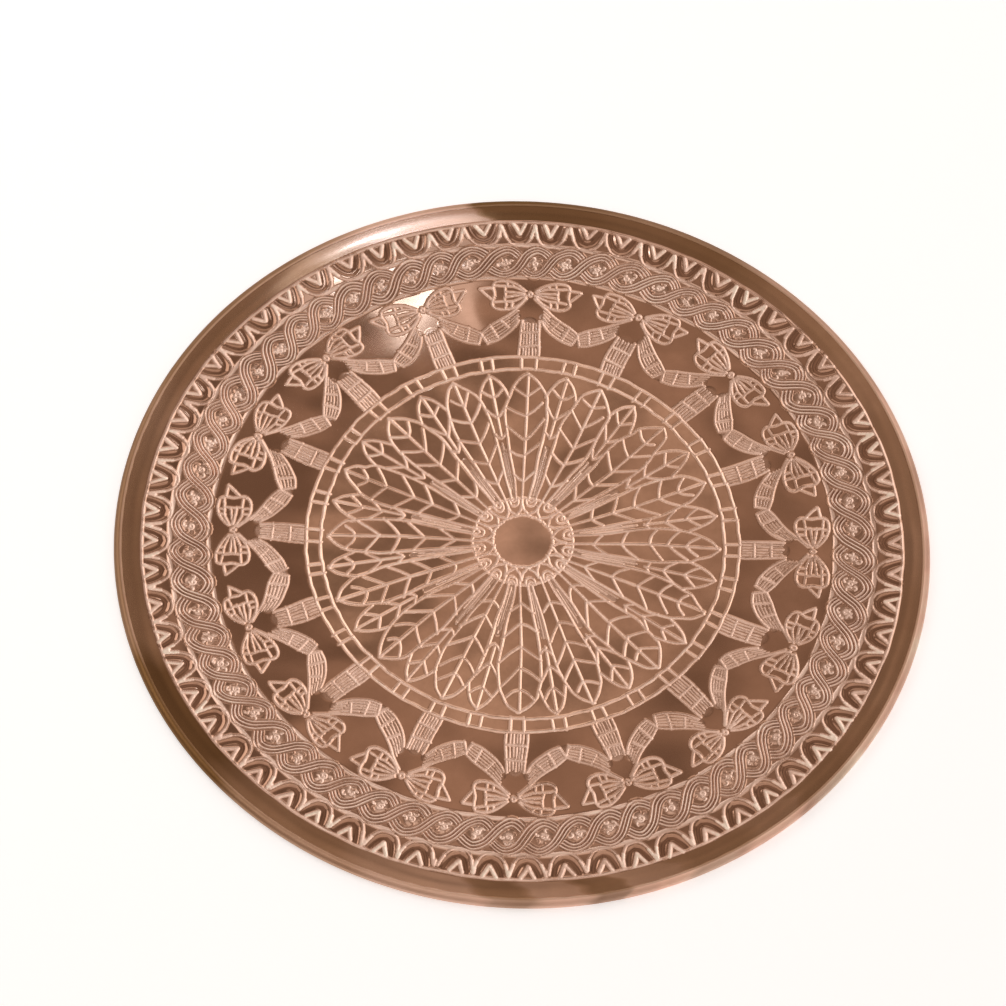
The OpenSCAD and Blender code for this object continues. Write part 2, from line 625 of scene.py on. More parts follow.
leafWork = {
    "repeats": 16,
    "lineWidth": 1.6,
    "lineDepth": 0.38,
    "midrib": (0.107, 0.4815),
    "outline": [(7.8, 0.123), (8.0, 0.20), (8.5, 0.30), (8.1, 0.35), (7.1, 0.385), (5.9, 0.4167),
                (4.7, 0.437), (2.6, 0.462), (0, 0.4815)],
    "veinRoots": (0.175, 0.2367, 0.299, 0.356, 0.4125),
    "veinEndsRight": [(8.0, 0.198), (8.4, 0.266), (8.2, 0.333), (6.8, 0.387), (4.2, 0.4365)],
    "veinEndsLeft": [(7.5, 0.204), (8.35, 0.284), (7.5, 0.347), (5.6, 0.402), (3.2, 0.438)],
    "shortMidrib": (0.302, 0.482),
    "shortVeinRoots": (0.302, 0.3535, 0.4140),
    "shortVeinEnds": [(2.6, 0.317), (4.1, 0.387), (3.3, 0.4396)],
    "shortTip": [(5.05, 0.4157), (3.85, 0.439), (2.15, 0.464), (0, 0.482)],
    "stripLines": (-0.0055, 0.0, 0.0055),              # lengthwise strokes between two long leaves
    "stripRun": (0.130, 0.272),
    "stripWidth": 3.6,                                 # mm, the lighter ground under those strokes
    "stripRise": 0.08,
    "stripShine": 0.42,
    "strokeShare": (0.7, 0.4, 0.75),                   # their width, depth and burnish beside a line's
    "strokeStart": (0.0, 0.03),                        # how far in and out their ends may lie
    "strokeEnd": (-0.04, 0.015),
    "strokeSlant": 0.0012,
    "rootSlip": 0.0045,                                # how far the hand slips: roots, ends and outlines
    "swingSlip": 0.30,                                 # degrees
    "reachSlip": 0.0035,
    "outlineSlip": (0.22, 0.0015),                     # degrees, distance
    "veinBend": (0.52, 0.006),                         # where a vein bends and by how much at most
    "shortRootSlip": 0.004,
    "shortReachSlip": 0.003,
    "shortVeinBend": (0.5, 0.005),
}


def veinLine(hand, root, swing, far, bend, axis, side):
    # from the midrib out to its end, bent a little towards the middle of the tray on its way
    where, most = bend
    knee = (where * swing, 0.5 * (root + far) - hand.rng.uniform(0.0, most))
    return smoothLine(roundAxis([(0, root), knee, (swing, far)], axis, side))


def chaseLeaves(hand):
    f = leafWork
    w, d = f["lineWidth"], f["lineDepth"]
    spacing = 360 / f["repeats"]
    for k in range(f["repeats"]):
        # a long leaf
        axis = k * spacing
        near, tip = f["midrib"]
        hand.line(aboutAxis([(0, near), (0, 0.5 * (near + tip)), (0, tip)], axis), w, d)
        roots = np.array(f["veinRoots"]) + hand.rng.normal(0, f["rootSlip"], len(f["veinRoots"]))
        for side, ends in ((1, f["veinEndsRight"]), (-1, f["veinEndsLeft"])):
            outline = np.array(f["outline"])
            outline[1:-1] += hand.rng.normal(0, 1, outline[1:-1].shape) * f["outlineSlip"]
            hand.line(smoothLine(roundAxis(outline, axis, side)), w, d)
            for root, (swing, far) in zip(roots, ends):
                swing += hand.rng.normal(0, f["swingSlip"])
                far += hand.rng.normal(0, f["reachSlip"])
                hand.line(veinLine(hand, root, swing, far, f["veinBend"], axis, side), w, d)
        # the short leaf beside it
        between = axis + 0.5 * spacing
        near, tip = f["shortMidrib"]
        hand.line(aboutAxis([(0, near), (0, tip)], between), w, d)
        roots = np.array(f["shortVeinRoots"])
        roots = roots + hand.rng.normal(0, f["shortRootSlip"], len(roots))
        for side in (-1, 1):
            hand.line(smoothLine(roundAxis(f["shortTip"], between, side)), w, d)
            for root, (swing, far) in zip(roots, f["shortVeinEnds"]):
                far += hand.rng.normal(0, f["shortReachSlip"])
                hand.line(veinLine(hand, root, swing, far, f["shortVeinBend"], between, side), w, d)
        # the strokes between the stems
        near, far = f["stripRun"]
        hand.band(aboutAxis([(0, near), (0, far)], between), f["stripWidth"], f["stripRise"], f["stripShine"])
        wide, deep, shine = f["strokeShare"]
        for x in f["stripLines"]:
            start, end = near + hand.rng.uniform(*f["strokeStart"]), far + hand.rng.uniform(*f["strokeEnd"])
            slant = hand.rng.normal(0, f["strokeSlant"])
            hand.line(aboutAxis([(x, start), (x + slant, end)], between), wide * w, deep * d, shine)


# double ring with pairs of ticks round the leaves

ringWork = {
    "inner": 0.495,
    "outer": 0.531,
    "lineWidth": 1.6,
    "lineDepth": 0.38,
    "axes": 32,
    "tick": 1.73,                                      # degrees from an axis to each of its two ticks
    "tickSlip": 0.2,
}


def chaseDoubleRing(hand):
    w, d = ringWork["lineWidth"], ringWork["lineDepth"]
    hand.ring(ringWork["inner"], w, d)
    hand.ring(ringWork["outer"], w, d)
    for k in range(ringWork["axes"]):
        for side in (-1, 1):
            swing = ringWork["tick"] + hand.rng.uniform(-ringWork["tickSlip"], ringWork["tickSlip"])
            tick = [(swing, ringWork["inner"]), (swing, ringWork["outer"])]
            hand.line(roundAxis(tick, k * 360 / ringWork["axes"], side), w, d)


# ribbon tails, swags and bows

bowWork = {
    "repeats": 16,
    "lineWidth": 1.6,
    "lineDepth": 0.36,
    "hatchWidth": 1.0,
    "ribbonRise": 0.05,                                # mm that the ribbons stand up
    "ribbonShine": (0.08, 0.50),                       # least and most, picked for each ribbon
    "tailEdge": [(0.0235, 0.5335), (0.0240, 0.560), (0.0225, 0.600), (0.0205, 0.641)],
    "tailRun": (0.540, 0.632),
    "tailHalf": 0.0225,
    "tailHatch": (-0.0150, -0.0076, 0.0, 0.0076, 0.0150),
    "tailHatchRuns": ((0.536, 0.563), (0.572, 0.604), (0.612, 0.638)),
    "tailHatchSlip": (-0.004, 0.002),
    "tailBars": (0.567, 0.608),
    "barHalf": 0.0235,
    "barSlip": 0.002,
    "swagHalf": 0.0175,
    "swagRoot": (0.0300, 0.6800),                      # where the hatched part starts on the lower edge
    "swagEnd": (0.1192, 0.5965),
    "swagShares": (0.2, 0.4, 0.6, 0.8),                # of the way across from the upper edge
    "swagUpper": [(0.0288, 0.6408), (0.0373, 0.6242), (0.0488, 0.6081), (0.0642, 0.5927),
                  (0.0804, 0.5796), (0.1019, 0.5696)],
    "swagLower": [(0.0115, 0.700), (0.0373, 0.6727), (0.0546, 0.654), (0.0758, 0.6358),
                  (0.0988, 0.6177), (0.1192, 0.5973)],
    "swagBars": [((0.0777, 0.5858), (0.0969, 0.6204)), ((0.0527, 0.6177), (0.0719, 0.6381))],
    "hatchRuns": ((0.06, 0.33), (0.38, 0.68), (0.72, 0.97)),
    "loop": [(0.0112, 0.710), (0.0200, 0.6958), (0.0335, 0.6831), (0.0488, 0.6742), (0.0662, 0.6696),
             (0.0835, 0.6704), (0.0942, 0.6773), (0.0977, 0.6888), (0.0942, 0.710), (0.0969, 0.7254),
             (0.0969, 0.7369), (0.0912, 0.7473), (0.0758, 0.7512), (0.0604, 0.7504),
             (0.0412, 0.7435), (0.0258, 0.7331), (0.0142, 0.7227)],
    "loopInner": [
        [(0.0142, 0.7081), (0.0335, 0.6985), (0.0488, 0.6931), (0.0692, 0.6927), (0.0912, 0.6896)],
        [(0.0142, 0.7196), (0.0335, 0.7292), (0.0488, 0.7342), (0.0692, 0.735), (0.0931, 0.7369)],
        [(0.0692, 0.6946), (0.0673, 0.7119), (0.0692, 0.7331)],
        [(0.0485, 0.6760), (0.0485, 0.6927)],
        [(0.0640, 0.6710), (0.0645, 0.6908)],
        [(0.0480, 0.7342), (0.0485, 0.7465)],
        [(0.0640, 0.7350), (0.0645, 0.7500)],
        [(0.0162, 0.7127), (0.0681, 0.7050)],
        [(0.0162, 0.7158), (0.0681, 0.7204)],
    ],
    "ribbonEnd": [[(0.0981, 0.6958), (0.1125, 0.7095), (0.1265, 0.7245)],
                  [(0.1265, 0.7262), (0.1130, 0.7290), (0.0988, 0.7312)]],
    "knot": (0.7138, 0.0048, 0.0066),                  # place out from the centre, half width, half height
}


def swagHatch(upper, lower, axis, side, share, near, far):
    # a stroke along the ribbon, this share of the way from its upper edge to its lower one
    t = np.linspace(near, far, 5)
    knots = np.linspace(0, 1, len(upper))
    points = [(1 - share) * np.interp(t, knots, upper[:, i]) + share * np.interp(t, knots, lower[:, i])
              for i in (0, 1)]
    return aboutAxis(np.stack(points, 1), axis, side)


def chaseBows(hand):
    b = bowWork
    w, d = b["lineWidth"], b["lineDepth"]
    upper, lower = np.array(b["swagUpper"]), np.array(b["swagLower"])
    lowerNear = np.array([b["swagRoot"]] + b["swagLower"][1:])
    middle = 0.5 * (upper + lowerNear)
    tailWide, swagWide = (2 * b[half] * trayRadius / mm for half in ("tailHalf", "swagHalf"))
    for k in range(b["repeats"]):
        axis = k * 360 / b["repeats"]
        # the tail that hangs inwards from behind the knot
        tail = aboutAxis([(0, far) for far in b["tailRun"]], axis)
        hand.band(tail, tailWide, b["ribbonRise"], hand.rng.uniform(*b["ribbonShine"]))
        for side in (-1, 1):
            hand.line(smoothLine(aboutAxis(b["tailEdge"], axis, side)), w, d)
        for bar in b["tailBars"]:
            slip = hand.rng.uniform(-b["barSlip"], b["barSlip"])
            hand.line(aboutAxis([(-b["barHalf"], bar + slip), (b["barHalf"], bar - slip)], axis), w, d)
        for x in b["tailHatch"]:
            for near, far in b["tailHatchRuns"]:
                end = far + hand.rng.uniform(*b["tailHatchSlip"])
                hand.line(aboutAxis([(x, near), (0.97 * x, end)], axis), b["hatchWidth"], 0.7 * d, 0.9)
        for side in (-1, 1):
            # the swag to the next bow
            hand.band(smoothLine(aboutAxis(middle[1:], axis, side)), swagWide, b["ribbonRise"],
                      hand.rng.uniform(*b["ribbonShine"]))
            hand.line(smoothLine(aboutAxis(upper, axis, side)), w, d)
            hand.line(smoothLine(aboutAxis(lower, axis, side)), w, d)
            hand.line(aboutAxis([b["swagUpper"][-1], b["swagEnd"]], axis, side), w, d)
            for bar in b["swagBars"]:
                hand.line(aboutAxis(bar, axis, side), w, 0.9 * d)
            for near, far in b["hatchRuns"]:
                for share in b["swagShares"]:
                    stroke = swagHatch(upper, lowerNear, axis, side, share, near, far)
                    hand.line(stroke, b["hatchWidth"], 0.6 * d, 0.85)
            # one loop of the bow and its pointed end
            hand.line(smoothLine(aboutAxis(b["loop"], axis, side)), 1.05 * w, 1.1 * d)
            for inner in b["loopInner"]:
                hand.line(smoothLine(aboutAxis(inner, axis, side)), 0.85 * w, 0.85 * d, 0.95)
            for end in b["ribbonEnd"]:
                hand.line(smoothLine(aboutAxis(end, axis, side)), w, d)
        place, wide, high = b["knot"]
        about = np.linspace(0, turn, 13)
        knot = np.stack([wide * np.cos(about), place + high * np.sin(about)], 1)
        hand.line(aboutAxis(knot, axis), 0.9 * w, d)


# the twisted rope border

ropeWork = {
    "repeats": 64,
    "start": 2.1,                                      # degrees from the first bow to the first strand
    "middle": 0.8145,
    "strand": [(0, 0), (0.18, -0.0205), (0.395, -0.034), (0.6, -0.0385), (0.79, -0.0325), (0.95, -0.021)],
    "strandLines": (-0.0082, 0.0, 0.0082),             # the raised lines of a strand
    "lineWidth": 1.75,                                 # mm
    "lineRise": 0.24,
    "valleys": (-0.0122, -0.0041, 0.0041, 0.0122),     # the dark furrows beside them
    "valleyWidth": 1.05,
    "valleyDepth": 0.34,
    "coreRise": 0.32,                                  # mm, the bolder lines where a strand lies on top
    # high enough to reach the painted highlight
    "coreShine": 1.2,
    "coreShare": (0.95, 1.25),                         # their width, and depth between them, beside the rest
    "lineShine": 0.92,
    "lineEdge": 0.7,                                   # share of a line's half width that is eased
    "valleyShine": -0.85,                              # negative: stained instead of burnished
    "coreValleyShine": -1.0,
    "onTop": 0.30,                                     # share of a strand, each way, that lies on top
    "tuckedUnder": 0.0140,                             # a hooked end stops this close to its neighbour
    "eye": (0.52, 0.8125),
    "eyeCurl": (0.0200, 0.0022, 1.1),
    "eyeStrokes": 5,
    "eyeOut": (0.66, 0.90),                            # where they lie, as shares of the curl's radius
    "eyeStrokeSize": (0.0050, 0.0078),
    "eyeLine": (1.3, 0.28),                            # mm wide and deep
    "eyeStrokeLine": (1.25, 0.26),
    "eyeBright": 0.55,                                 # share of the strokes that are burnished, not stained
    "eyeWidth": 9.5,
    "eyeRise": 0.14,
    "eyeShine": 0.34,
    "eyeEdge": 0.6,
    "innerRing": 0.7675,
    "outerRing": 0.8638,
    "ringWidth": 2.5,
    "outerWidth": 3.0,
    "ringRise": 0.30,
    "ringShine": 0.95,
    "ringDull": (75, 60, 0.40),                        # painted shade: degrees, how wide, and the share of burnish lost
}


def strandLine(k):
    # a stretched S, the same turned half round about its middle point
    r = ropeWork
    pitch = 360 / r["repeats"]
    half = np.array(r["strand"])
    both = np.concatenate([-half[:0:-1], half])
    points = np.stack([both[:, 0] * pitch, r["middle"] + both[:, 1]], 1)
    return smoothLine(roundAxis(points, r["start"] + k * pitch), steps=4)


def strandCore(k):
    # the slanting middle of a strand, which lies on top of its neighbours' hooked ends
    path = strandLine(k)
    middle = len(path) // 2
    span = int(ropeWork["onTop"] * len(path))
    return path[middle - span:middle + span + 1]


def longestRun(path, keep):
    # the longest unbroken stretch of a line whose points are all to be kept
    edges = np.flatnonzero(np.diff(np.concatenate([[0], keep.astype(int), [0]])))
    runs = edges.reshape(-1, 2)
    if len(runs) == 0:
        return path[:0]
    first, final = runs[np.argmax(runs[:, 1] - runs[:, 0])]
    return path[first:final]


def eyeMarks(hand, centre, facing):
    # the loose curls and short strokes that fill an eye of the rope
    r = ropeWork
    wide, tight, turns = r["eyeCurl"]
    start = facing + hand.rng.uniform(-60, 60)
    hand.line(curlLine(centre, 0.42 * wide, tight, turns, start), *r["eyeLine"])
    swings = np.arange(r["eyeStrokes"]) * 360 / r["eyeStrokes"]
    for swing in swings + hand.rng.uniform(-22, 22, r["eyeStrokes"]):
        a = math.radians(start + swing)
        out = hand.rng.uniform(*r["eyeOut"]) * wide * trayRadius
        size = hand.rng.uniform(*r["eyeStrokeSize"])
        shine = 1.0 if hand.rng.random() < r["eyeBright"] else -0.9
        place = centre + out * np.array([math.cos(a), math.sin(a)])
        curl = curlLine(place, size, 0.7 * size, 0.45, hand.rng.uniform(0, 360))
        hand.line(curl, *r["eyeStrokeLine"], shine)


def chaseRope(hand):
    r = ropeWork
    hand.ring(r["innerRing"], r["ringWidth"], -r["ringRise"], r["ringShine"], r["ringDull"])
    hand.ring(r["outerRing"], r["outerWidth"], -r["ringRise"], r["ringShine"], r["ringDull"])
    pitch = 360 / r["repeats"]
    for k in range(r["repeats"]):
        path = strandLine(k)
        around = [strandCore(k - 1), strandCore(k + 1)]
        for kind, offsets in (("valley", r["valleys"]), ("line", r["strandLines"])):
            for offset in offsets:
                line = besideLine(path, offset * trayRadius)
                clear = np.ones(len(line), bool)
                for other in around:
                    away, _ = nearLine(line[:, 0], line[:, 1], other)
                    clear &= away > r["tuckedUnder"] * trayRadius
                line = longestRun(line, clear)
                if len(line) < 3:
                    continue
                if kind == "valley":
                    hand.line(line, r["valleyWidth"], r["valleyDepth"], r["valleyShine"])
                else:
                    hand.band(line, r["lineWidth"], r["lineRise"], r["lineShine"], r["lineEdge"])
        core = strandCore(k)
        coreWidth, coreDepth = r["coreShare"][0] * r["lineWidth"], r["coreShare"][1] * r["valleyDepth"]
        for offset in r["strandLines"]:
            line = besideLine(core, offset * trayRadius)
            hand.band(line, coreWidth, r["coreRise"], r["coreShine"], r["lineEdge"])
        for offset in r["valleys"][1:-1]:
            line = besideLine(core, offset * trayRadius)
            hand.line(line, r["valleyWidth"], coreDepth, r["coreValleyShine"])
        facing = r["start"] + (k + r["eye"][0]) * pitch
        centre = roundAxis([(0, r["eye"][1])], facing)[0]
        swell = np.stack([centre, centre + 0.5 * mm])
        hand.band(swell, r["eyeWidth"], r["eyeRise"], r["eyeShine"], r["eyeEdge"])
        eyeMarks(hand, centre, facing)


# the border of arches and darts

archWork = {
    "repeats": 64,
    "start": 2.45,                                     # degrees from the first bow to the first arch
    "arch": [(0, 0.8655), (0.74, 0.8670), (1.45, 0.8731), (2.19, 0.8903), (2.52, 0.9082), (2.70, 0.9200)],
    "archWidth": 1.6,
    "archDepth": 0.42,
    "footWider": 1.3,                                  # the arch's feet beside its crown
    "foot": [(2.81, 0.9100), (2.81, 0.9225)],
    "footWidth": 2.7,
    "footDepth": 0.46,
    "channel": [(0, 0.8815), (0.85, 0.8880), (1.42, 0.9030), (1.72, 0.9170), (1.82, 0.9250)],
    "channelWidth": 4.8,                               # mm, the dished dark ground under an arch
    "channelDepth": 0.24,
    "channelStain": -0.60,
    "channelEdge": 0.8,
    "dart": [(0, 0.8975), (0.28, 0.9050), (0.66, 0.9165), (1.02, 0.9265)],
    "dartWidth": 2.5,
    "dartDepth": 0.46,
    "archShine": 0.85,
    "shine": 1.45,                                     # of darts and feet, the boldest marks of all, deep in the painted highlight
    "placeSlip": 0.13,                                 # degrees
    "leanSlip": 0.16,                                  # degrees
    "reachSlip": 0.0016,
    "rimRingShine": 0.92,
    "rimRing": 0.931,
    "rimRingWidth": 1.9,
    "rimRingDepth": 0.42,
    # painted shade on the rim ring: degrees, how wide, and the share of burnish lost
    "rimRingDull": (55, 38, 0.70),
}


def chaseArches(hand):
    e = archWork
    hand.ring(e["rimRing"], e["rimRingWidth"], e["rimRingDepth"], e["rimRingShine"],
              e["rimRingDull"])
    pitch = 360 / e["repeats"]
    for k in range(e["repeats"]):
        axis = e["start"] + k * pitch + hand.rng.normal(0, e["placeSlip"])
        lean, reach = hand.rng.normal(0, e["leanSlip"]), hand.rng.normal(0, e["reachSlip"])
        for side in (-1, 1):
            hand.band(smoothLine(roundAxis(e["channel"], axis, side)), e["channelWidth"],
                      -e["channelDepth"], e["channelStain"], e["channelEdge"])
            arch = smoothLine(roundAxis(e["arch"], axis, side))
            hand.line(arch, e["archWidth"], e["archDepth"], e["archShine"])
            foot = smoothLine(roundAxis(e["arch"][3:], axis, side))
            hand.line(foot, e["footWider"] * e["archWidth"], e["archDepth"], e["shine"])
            dart = np.array(e["dart"])
            dart[:, 0] += side * lean * np.linspace(1, 0.3, len(dart))
            dart[0, 1] += reach
            hand.line(smoothLine(roundAxis(dart, axis, side)), e["dartWidth"], e["dartDepth"], e["shine"])
        hand.line(roundAxis(e["foot"], axis), e["footWidth"], e["footDepth"], e["shine"])


print("chasing the lines")

# each row: name, inner and outer edge as shares of the radius, rings, columns, finish, work on it
partsOfTop = [
    ("tray_middle", 0.002, 0.128, 66, 448, middleCopper, (chaseCollar, chaseLeaves)),
    ("leaf_stems", 0.128, 0.30, 86, 896, leafCopper, (chaseCollar, chaseLeaves)),
    ("leaf_blades", 0.30, 0.40, 52, 1344, leafCopper, (chaseLeaves,)),
    ("leaf_tips", 0.40, 0.535, 66, 1408, leafCopper, (chaseLeaves, chaseDoubleRing)),
    ("ribbon_tails", 0.535, 0.645, 52, 1784, fieldCopper, (chaseDoubleRing, chaseBows)),
    ("bows", 0.645, 0.7655, 50, 1816, fieldCopper, (chaseBows, chaseRope)),
    ("rope_inner", 0.7655, 0.8145, 30, 3024, bandCopper, (chaseBows, chaseRope)),
    ("rope_outer", 0.8145, 0.8645, 30, 3024, bandCopper, (chaseRope, chaseArches)),
    ("arch_border", 0.8645, 0.9375, 36, 2496, archCopper, (chaseRope, chaseArches)),
]
workSeeds = {chaseCollar: 3, chaseLeaves: 5, chaseDoubleRing: 7,
             chaseBows: 11, chaseRope: 13, chaseArches: 17}

skins = {row[0]: makeSkin(*row[1:5]) for row in partsOfTop}
for work, seed in workSeeds.items():
    work(Graver([skins[row[0]] for row in partsOfTop if work in row[6]], seed))
    print("done:", work.__name__)
for row in partsOfTop:
    sheetPiece(row[0], skins[row[0]], row[5], hasCentre=row is partsOfTop[0])


# plain rim with the edge rolled over its wire

rimWork = {
    "inner": 0.9375,
    "crown": 0.03,                                     # mm, the plain rim is a little round across
    "flatRings": 22,
    "arcRings": 44,
    "hollowRings": 18,
    "columns": 960,
    "fillet": 0.7,                                     # mm, how sharp the turn up into the rolled edge is
    "filletTurn": 8,                                   # degrees of the roll that the turn takes up
    "facets": 96,                                      # flats that the hammer left along the roll
    "facetDepth": 0.025,                               # mm
    "facetSlip": ((7, 1.4), (17, 0.9)),                # waves by which they bunch up, and radians of each
    "wearWaves": 5,                                    # slow waves by which the roll is beaten in more
    "seed": 29,
    "lipGap": 0.40,                                    # mm between the end of the roll and the sheet
    "rollShine": 0.22,
    "rollBright": 1.15,                                # painted highlight: extra burnish of the roll on its lit side
    "rollStain": 0.75,                                 # and painted shade on the side across from it
    "handledSide": -22,                                # degrees
    # degrees round the tray and the painted reflection there: painted dark (-1) to painted light (1)
    "tones": [(0, 0.10), (35, 0.02), (52, -0.10), (60, -0.55), (72, -0.45), (80, -0.65), (97, -0.75),
              (98.5, 0.45), (106, 0.9), (113, 1.0), (118, 0.5), (126, 0), (150, 0), (160, 0.16), (172, 0),
              (200, -0.05), (205, -0.85), (222, -0.85), (228, -0.25), (244, -0.05), (250, 0.22),
              (264, 0.34), (266, -0.20), (271, -0.30), (273, 0.30), (279, 0.22), (281, -0.55), (285, -0.4),
              (286, 0.22), (293, 0.15), (296, -0.25), (303, -0.20), (306, 0.05), (313, 0.08),
              (315, -0.28), (322, -0.22), (326, 0), (342, -0.05), (360, 0.10)],
}


def paintedRimReflection(angle, away):
    # the painted reflection runs straight from one named value to the next round the tray; its borders
    # lean with distance out
    stops = np.array(rimWork["tones"])
    lean = 0.5 * np.sin(away * 900) + 1.3 * np.sin(away * 310 + 2 * angle)
    return np.interp((np.degrees(angle) + lean) % 360, stops[:, 0], stops[:, 1])


def rimProfile():
    # the flat, a small round turn, the outside of the roll, its end, the inside of the roll, and back
    # along the underside: a closed outline as distances out and heights
    inner = rimWork["inner"] * trayRadius
    under = faceHeight - sheetThick
    creaseOut = beadPlace - math.sqrt(beadRadius ** 2 - (faceHeight - beadHeight) ** 2)
    flatEnd = creaseOut - rimWork["fillet"] * mm
    out = np.linspace(inner, flatEnd, rimWork["flatRings"])
    way = (out - inner) / (flatEnd - inner)
    flat = np.stack([out, faceHeight + rimWork["crown"] * mm * np.sin(math.pi * way) ** 2], 1)
    crease = math.pi - math.asin((faceHeight - beadHeight) / beadRadius)
    arcStart = crease - math.radians(rimWork["filletTurn"])
    arcEnd = -math.pi - math.asin((under - rimWork["lipGap"] * mm - beadHeight) / beadRadius)
    a = np.linspace(arcStart, arcEnd, rimWork["arcRings"])
    roll = np.stack([beadPlace + beadRadius * np.cos(a), beadHeight + beadRadius * np.sin(a)], 1)
    t = np.array([0.35, 0.7])[:, None]
    corner = np.array([[creaseOut, faceHeight]])
    fillet = (1 - t) ** 2 * flat[-1:] + 2 * t * (1 - t) * corner + t ** 2 * roll[:1]
    lipTurn = -math.pi - math.asin((under - rimWork["lipGap"] * mm - beadHeight) / hollowRadius)
    hollowEnd = math.pi - math.asin((under - beadHeight) / hollowRadius)
    a = np.linspace(lipTurn, hollowEnd, rimWork["hollowRings"])
    hollow = np.stack([beadPlace + hollowRadius * np.cos(a), beadHeight + hollowRadius * np.sin(a)], 1)
    out = np.linspace(hollow[-1, 0], inner, 5)[1:]
    back = np.stack([out, np.full(4, under)], 1)
    outline = np.concatenate([flat, fillet, roll, hollow, back])
    outline[:, 1] = np.maximum(outline[:, 1], 0.0)
    return outline


def rolledRim():
    outline = rimProfile()
    angle = turn * np.arange(rimWork["columns"]) / rimWork["columns"]
    outer = np.hypot(outline[:, 0] - beadPlace, outline[:, 1] - beadHeight) > 0.96 * beadRadius
    outer &= outline[:, 0] > beadPlace - 0.5 * beadRadius
    rng = np.random.default_rng(rimWork["seed"])
    (slowWaveCount, slowSlip), (fastWaveCount, fastSlip) = rimWork["facetSlip"]
    beats = (rimWork["facets"] * angle + slowSlip * np.sin(slowWaveCount * angle + 1)
             + fastSlip * np.sin(fastWaveCount * angle))
    wear = np.sin(rimWork["wearWaves"] * angle + rng.uniform(0, turn)) ** 2
    bite = 1.1 - 0.5 * np.cos(beats) + 0.8 * wear
    shrink = outer[:, None] * rimWork["facetDepth"] * mm * bite / beadRadius
    out = outline[:, :1] - shrink * (outline[:, :1] - beadPlace)
    z = outline[:, 1:] - shrink * (outline[:, 1:] - beadHeight)
    x, y = out * np.cos(angle), out * np.sin(angle)
    rings = np.stack([x, y, z + sheetLift(x, y)], 2)
    ghost = np.concatenate([rings[-1:], rings, rings[:1]])
    normals = surfaceNormals(ghost)
    # the first ring faces the way the arch border's last one does
    step = trayRadius * 0.002
    near, far = outline[0, 0] - step, outline[0, 0] + step
    before = sheetLift(near * np.cos(angle), near * np.sin(angle))
    after = sheetLift(far * np.cos(angle), far * np.sin(angle))
    slope = (after - before) / (2 * step)
    normals[0] = np.stack([-slope * np.cos(angle), -slope * np.sin(angle), np.ones_like(angle)], 1)
    # the roll's edge gets a painted highlight on its lit side and painted shade on the side across
    facing = np.cos(angle - math.radians(rimWork["handledSide"]))
    edge = (outer & (outline[:, 0] > beadPlace - 0.1 * beadRadius))[:, None]
    shine = rimWork["rollShine"] * outer[:, None] + rimWork["rollBright"] * edge * np.clip(facing, 0, 1)
    piece = shellOfRings("rolled_rim", rings, normals, True, shine)
    worn = piece.data.attributes.new("worn", "FLOAT", "POINT")
    worn.data.foreach_set("value", (outer[:, None] * np.ones_like(x)).astype(np.float32).ravel())
    # tone: the painted reflection round the rim, less painted shade on the roll's edge across from its lit
    # side
    tone = piece.data.attributes.new("tone", "FLOAT", "POINT")
    stain = paintedRimReflection(angle, np.hypot(x, y)) - rimWork["rollStain"] * edge * np.clip(-facing, 0, 1)
    tone.data.foreach_set("value", stain.astype(np.float32).ravel())
    standInForSheet(piece, rimCopper)


rolledRim()


# underside: the marks of the planishing hammer in rings

undersideWork = {"outer": 0.9375, "rings": 104, "columns": 460, "dentSpacing": 9.5, "dentDepth": 0.10}


def hammerDents(x, y, spacing, depth, seed):
    # dents stand in rings one spacing apart; each place takes the nearest dent's bowl, which is
    # deepest in its middle and rises with the square of the distance from it
    rng = np.random.default_rng(seed)
    far, angle = np.hypot(x, y), np.arctan2(y, x) % turn
    ring = np.round(far / spacing).astype(int)
    most = int(ring.max()) + 3
    shifts = rng.uniform(0, turn, most)
    jitter = rng.normal(0, 0.16 * spacing, (most, 256, 2))
    nearest = np.full(x.shape, 9.0)
    for step in (-1, 0, 1):
        q = np.clip(ring + step, 0, most - 1)
        count = np.maximum(1, np.round(turn * q)).astype(int)
        place = (angle - shifts[q]) / turn * count
        for other in (-1, 0, 1):
            j = (np.round(place).astype(int) + other) % count
            a = shifts[q] + turn * j / count
            dentX = q * spacing * np.cos(a) + jitter[q, j % 256, 0]
            dentY = q * spacing * np.sin(a) + jitter[q, j % 256, 1]
            nearest = np.minimum(nearest, np.hypot(x - dentX, y - dentY))
    return depth * (1.0 - np.minimum(1.0, (nearest / (0.62 * spacing)) ** 2))


def underside():
    u = undersideWork
    angle = turn * np.arange(u["columns"]) / u["columns"]
    out = trayRadius * np.linspace(0.004, u["outer"], u["rings"])
    under = faceHeight - sheetThick
    x, y = out[:, None] * np.cos(angle), out[:, None] * np.sin(angle)
    fade = 1.0 - easeBetween(out[:, None] / trayRadius, u["outer"] - 0.012, u["outer"])
    dents = fade * hammerDents(x, y, u["dentSpacing"] * mm, u["dentDepth"] * mm, 5)
    lower = np.stack([x, y, under + sheetLift(x, y) + dents], 2)[::-1]
    upper = hiddenCover(out[0], out[-1], angle, layerWork["coverShare"])
    rings = np.concatenate([upper, lower])
    ghost = np.concatenate([lower[:1], lower, lower[-1:]])
    facing = surfaceNormals(ghost)
    up = np.zeros_like(upper)
    up[:, :, 2] = 1.0
    piece = shellOfRings("underside", rings, np.concatenate([up, facing]), False)
    standInForSheet(piece, underCopper)


underside()


# the iron wire inside the roll keeps its own shape and gets its own finish

ironLook = {
    "iron": (0.40, 0.39, 0.38),
    "rust": (0.24, 0.13, 0.08),
    "rustScale": 420.0,                                # cells per metre
    "rustSpan": (0.5, 0.72),
    "rough": (0.38, 0.8),                              # of clean iron and of rust
    "metallic": 0.9,
}


